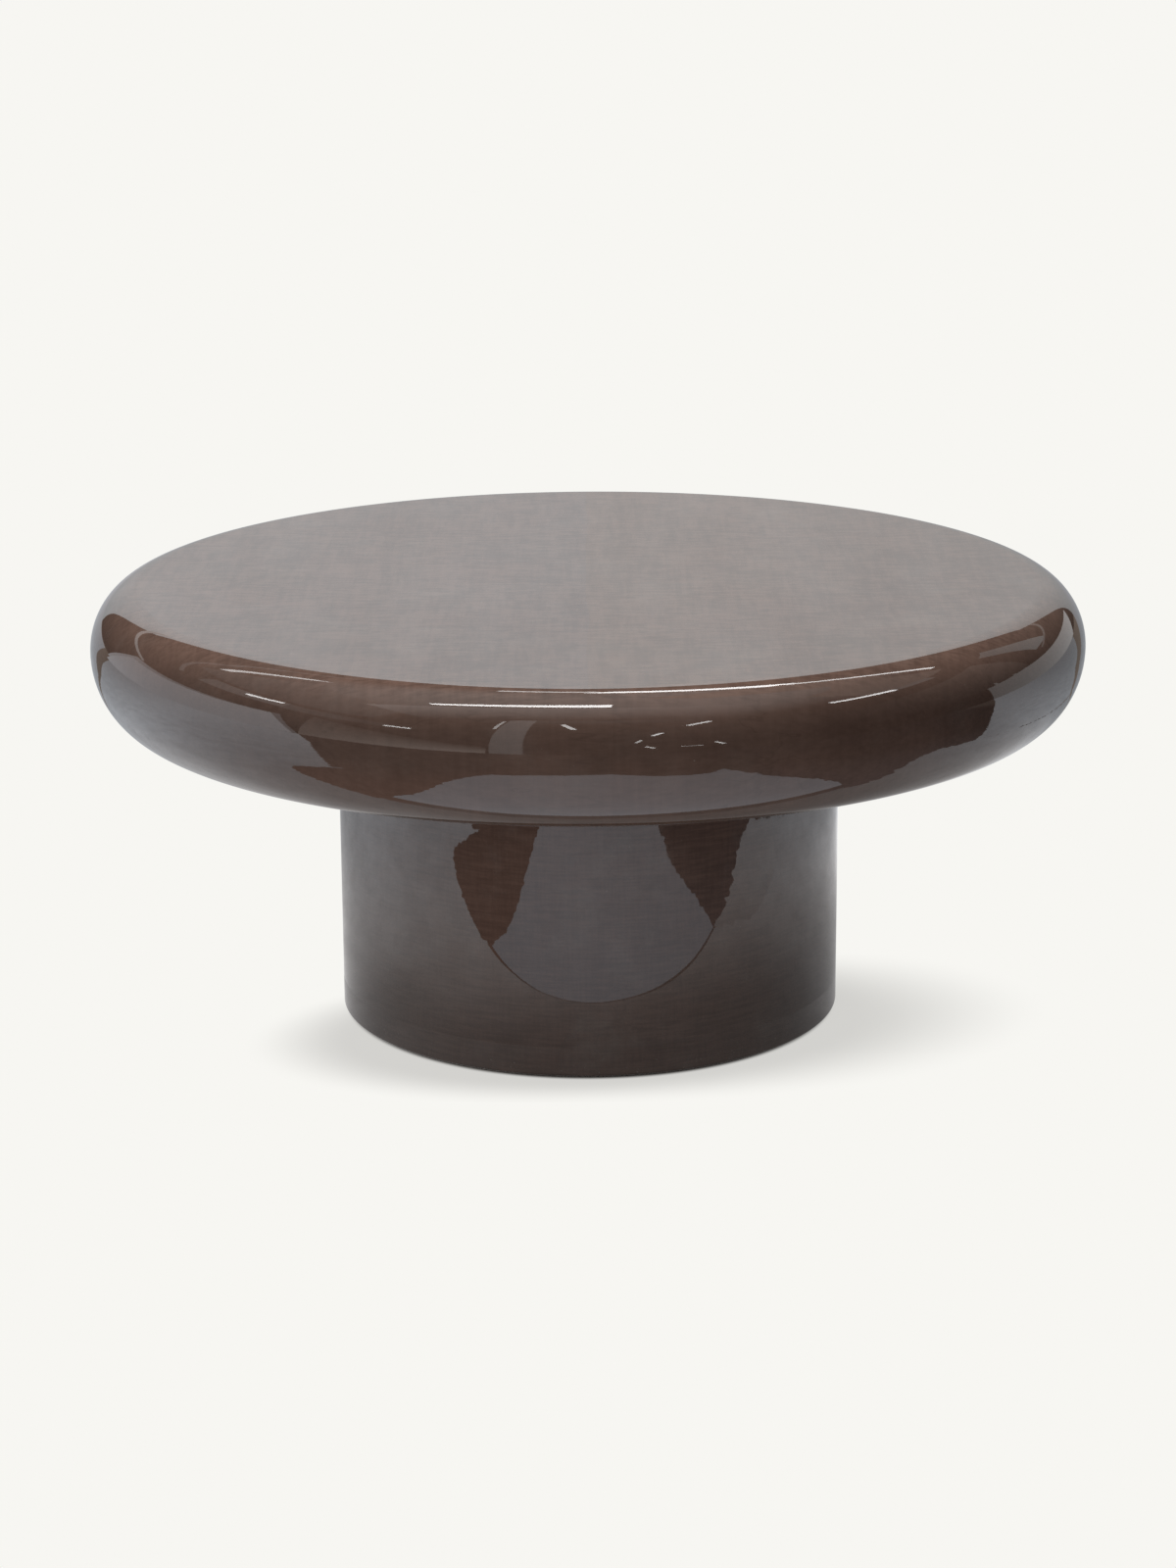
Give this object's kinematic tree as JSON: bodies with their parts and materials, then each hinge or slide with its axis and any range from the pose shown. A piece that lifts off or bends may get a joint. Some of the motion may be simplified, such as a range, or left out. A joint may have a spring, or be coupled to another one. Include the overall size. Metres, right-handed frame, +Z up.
{
  "type": "round cocktail table",
  "caption": "Low round cocktail table: a thick gloss lacquered disc top with a full rounded rim, bolted to a plain cylindrical drum base that stands on hidden levelling feet.",
  "frame": {"origin": "on the floor, under the middle of the drum, with the feet screwed fully in", "axes": "+Z up along the axis of the drum and the top; the table looks the same from all sides, and +X runs through the first levelling foot"},
  "size_m": [0.914, 0.914, 0.406],
  "materials": {
    "lacquer": "high gloss chocolate lacquer over cloth",
    "laminate": "raw glass-fibre strip",
    "plywood": "raw birch plywood",
    "timber": "planed softwood",
    "cover_board": "thin board stained dark",
    "zinc_steel": "bright zinc",
    "brass": "turned",
    "screw_steel": "yellow zinc",
    "nylon": "black moulded"
  },
  "bodies": {
    "table": {"top_upper_shell": "lacquer", "top_lower_shell": "lacquer", "drum_shell": "lacquer", "seam_band": "laminate", "top_deck": "plywood", "top_hub": "plywood", "core_ring": "plywood", "drum_top_plate": "plywood", "drum_mid_former": "plywood", "drum_bottom_plate": "plywood", "top_rib_1": "plywood", "top_rib_2": "plywood", "top_rib_3": "plywood", "top_rib_4": "plywood", "top_rib_5": "plywood", "top_rib_6": "plywood", "top_rib_7": "plywood", "top_rib_8": "plywood", "drum_post_1": "timber", "drum_post_2": "timber", "drum_post_3": "timber", "drum_post_4": "timber", "access_cover": "cover_board", "joint_bolts": "zinc_steel", "joint_washers": "zinc_steel", "leveller_tee_nuts": "zinc_steel", "hub_inserts": "brass", "post_screws": "screw_steel", "cover_screws": "screw_steel"},
    "foot_pad_1": {"leveller_pad_1": "nylon"},
    "foot_stud_1": {"leveller_stud_1": "zinc_steel"},
    "foot_pad_2": {"leveller_pad_2": "nylon"},
    "foot_stud_2": {"leveller_stud_2": "zinc_steel"},
    "foot_pad_3": {"leveller_pad_3": "nylon"},
    "foot_stud_3": {"leveller_stud_3": "zinc_steel"},
    "foot_pad_4": {"leveller_pad_4": "nylon"},
    "foot_stud_4": {"leveller_stud_4": "zinc_steel"}
  },
  "joints": [
    {"name": "foot_1_travel", "type": "slide", "parent": "table", "child": "foot_pad_1", "axis": [0, 0, -1], "range_m": [0, 0.01]},
    {"name": "foot_1_turn", "type": "hinge", "parent": "foot_pad_1", "child": "foot_stud_1", "pos_m": [0.19, 0, 0.01], "axis": [0, 0, -1], "range_deg": [0, 2880]},
    {"name": "foot_2_travel", "type": "slide", "parent": "table", "child": "foot_pad_2", "axis": [0, 0, -1], "range_m": [0, 0.01]},
    {"name": "foot_2_turn", "type": "hinge", "parent": "foot_pad_2", "child": "foot_stud_2", "pos_m": [0, 0.19, 0.01], "axis": [0, 0, -1], "range_deg": [0, 2880]},
    {"name": "foot_3_travel", "type": "slide", "parent": "table", "child": "foot_pad_3", "axis": [0, 0, -1], "range_m": [0, 0.01]},
    {"name": "foot_3_turn", "type": "hinge", "parent": "foot_pad_3", "child": "foot_stud_3", "pos_m": [-0.19, 0, 0.01], "axis": [0, 0, -1], "range_deg": [0, 2880]},
    {"name": "foot_4_travel", "type": "slide", "parent": "table", "child": "foot_pad_4", "axis": [0, 0, -1], "range_m": [0, 0.01]},
    {"name": "foot_4_turn", "type": "hinge", "parent": "foot_pad_4", "child": "foot_stud_4", "pos_m": [0, -0.19, 0.01], "axis": [0, 0, -1], "range_deg": [0, 2880]}
  ],
  "couplings": [
    {"joint": "foot_1_turn", "follows": "foot_1_travel", "rad_per_m": 5026.5},
    {"joint": "foot_2_turn", "follows": "foot_2_travel", "rad_per_m": 5026.5},
    {"joint": "foot_3_turn", "follows": "foot_3_travel", "rad_per_m": 5026.5},
    {"joint": "foot_4_turn", "follows": "foot_4_travel", "rad_per_m": 5026.5}
  ]
}
